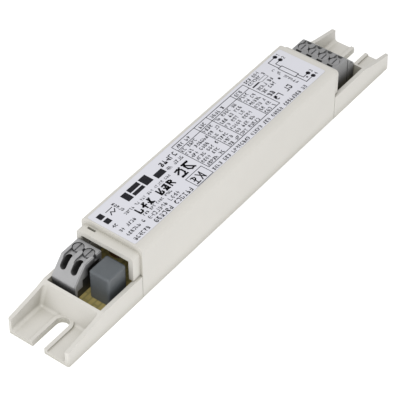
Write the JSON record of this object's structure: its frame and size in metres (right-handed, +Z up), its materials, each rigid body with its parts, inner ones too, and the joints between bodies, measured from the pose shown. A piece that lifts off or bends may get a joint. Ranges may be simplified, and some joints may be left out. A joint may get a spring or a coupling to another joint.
{
  "type": "fluorescent lamp ballast",
  "caption": "Slim electronic ballast for fluorescent lamps: moulded tray with slotted mounting ends, clip-on cover and screw terminals for mains and lamp wires.",
  "frame": {"origin": "middle of the underside, on the face that lies on the luminaire", "axes": "+X along the case toward the lamp terminals, +Y across it, +Z up from the mounting face"},
  "size_m": [0.205, 0.028, 0.0251],
  "materials": {
    "case_plastic": "satin moulded",
    "label_paper": "satin",
    "board_laminate": "satin",
    "sheet_film": "satin",
    "tinned_lead": "dull tin",
    "solder": "dull",
    "terminal_grey": "satin",
    "terminal_dark_grey": "satin",
    "screw_steel": "zinc plated",
    "clamp_brass": "plain",
    "filler_slate": "satin",
    "fuse_brown": "satin",
    "varistor_blue": "dipped",
    "film_yellow": "potted",
    "ferrite": "matt",
    "copper_wire": "enamelled",
    "diode_black": "moulded",
    "resistor_body": "lacquered",
    "can_sleeve": "shrink sleeve",
    "plug_rubber": "matt",
    "sink_aluminium": "bright",
    "transistor_black": "moulded",
    "bobbin_nylon": "satin",
    "winding_tape": "tape",
    "film_red": "dipped",
    "thermistor_green": "dipped"
  },
  "bodies": {
    "root": {"base_tray": "case_plastic", "top_cover": "case_plastic", "rating_label": "label_paper", "circuit_board": "board_laminate", "insulating_sheet": "sheet_film", "component_leads": "tinned_lead", "solder_joints": "solder", "mains_terminal_body": "terminal_grey", "mains_terminal_screws": "screw_steel", "mains_terminal_clamps": "clamp_brass", "filler_block": "filler_slate", "lamp_terminal_body": "terminal_dark_grey", "lamp_terminal_screws": "screw_steel", "lamp_terminal_clamps": "clamp_brass", "fuse": "fuse_brown", "surge_varistor": "varistor_blue", "mains_capacitor": "film_yellow", "line_choke_core": "ferrite", "line_choke_winding": "copper_wire", "rectifier_diodes": "diode_black", "resistors": "resistor_body", "storage_capacitor_can": "can_sleeve", "storage_capacitor_plug": "plug_rubber", "drive_ring_core": "ferrite", "drive_ring_turns": "copper_wire", "heat_sink": "sink_aluminium", "power_transistors": "transistor_black", "transistor_bolt": "screw_steel", "inductor_cores": "ferrite", "inductor_bobbin": "bobbin_nylon", "inductor_winding": "winding_tape", "resonant_capacitor": "film_red", "start_thermistor": "thermistor_green"}
  },
  "joints": []
}
